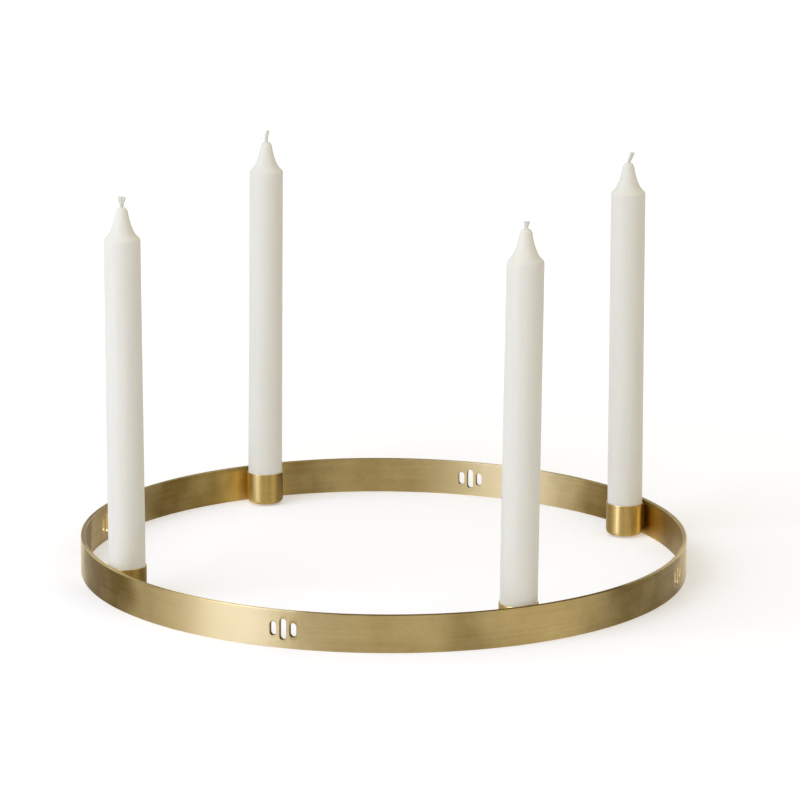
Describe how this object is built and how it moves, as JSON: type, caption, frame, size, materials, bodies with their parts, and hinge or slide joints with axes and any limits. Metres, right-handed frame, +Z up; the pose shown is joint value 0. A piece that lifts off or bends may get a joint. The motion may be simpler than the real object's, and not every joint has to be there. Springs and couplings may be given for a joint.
{
  "type": "advent candle holder",
  "caption": "Brass ring standing on its edge, with drawn cups brazed inside it that each hold a white crown candle, and upright slots through the band between them for a ribbon.",
  "frame": {"origin": "centre of the ring on the surface that its lower edge stands on", "axes": "+Z up along the candles; the cups lie on the X and Y axes, and the slot groups midway between them"},
  "size_m": [0.375, 0.375, 0.2485],
  "materials": {
    "brushed_brass": "satin, brushed along the band, lightly tarnished",
    "drawn_brass": "smooth satin",
    "brass_braze": "filed braze",
    "candle_wax": "smooth off-white wax",
    "wick_cotton": "braided cotton"
  },
  "bodies": {
    "holder": {"ring_band": "brushed_brass", "ring_seam": "brass_braze", "candle_cup_1": "drawn_brass", "candle_cup_2": "drawn_brass", "candle_cup_3": "drawn_brass", "candle_cup_4": "drawn_brass", "cup_braze_1": "brass_braze", "cup_braze_2": "brass_braze", "cup_braze_3": "brass_braze", "cup_braze_4": "brass_braze"},
    "lifting_candle_1": {"candle_1": "candle_wax", "wick_1": "wick_cotton"},
    "lifting_candle_2": {"candle_2": "candle_wax", "wick_2": "wick_cotton"},
    "lifting_candle_3": {"candle_3": "candle_wax", "wick_3": "wick_cotton"},
    "lifting_candle_4": {"candle_4": "candle_wax", "wick_4": "wick_cotton"}
  },
  "joints": [
    {"name": "candle_lift_1", "type": "slide", "parent": "holder", "child": "lifting_candle_1", "axis": [0, 0, 1], "range_m": [0, 0.02]},
    {"name": "candle_lift_2", "type": "slide", "parent": "holder", "child": "lifting_candle_2", "axis": [0, 0, 1], "range_m": [0, 0.02]},
    {"name": "candle_lift_3", "type": "slide", "parent": "holder", "child": "lifting_candle_3", "axis": [0, 0, 1], "range_m": [0, 0.02]},
    {"name": "candle_lift_4", "type": "slide", "parent": "holder", "child": "lifting_candle_4", "axis": [0, 0, 1], "range_m": [0, 0.02]}
  ]
}
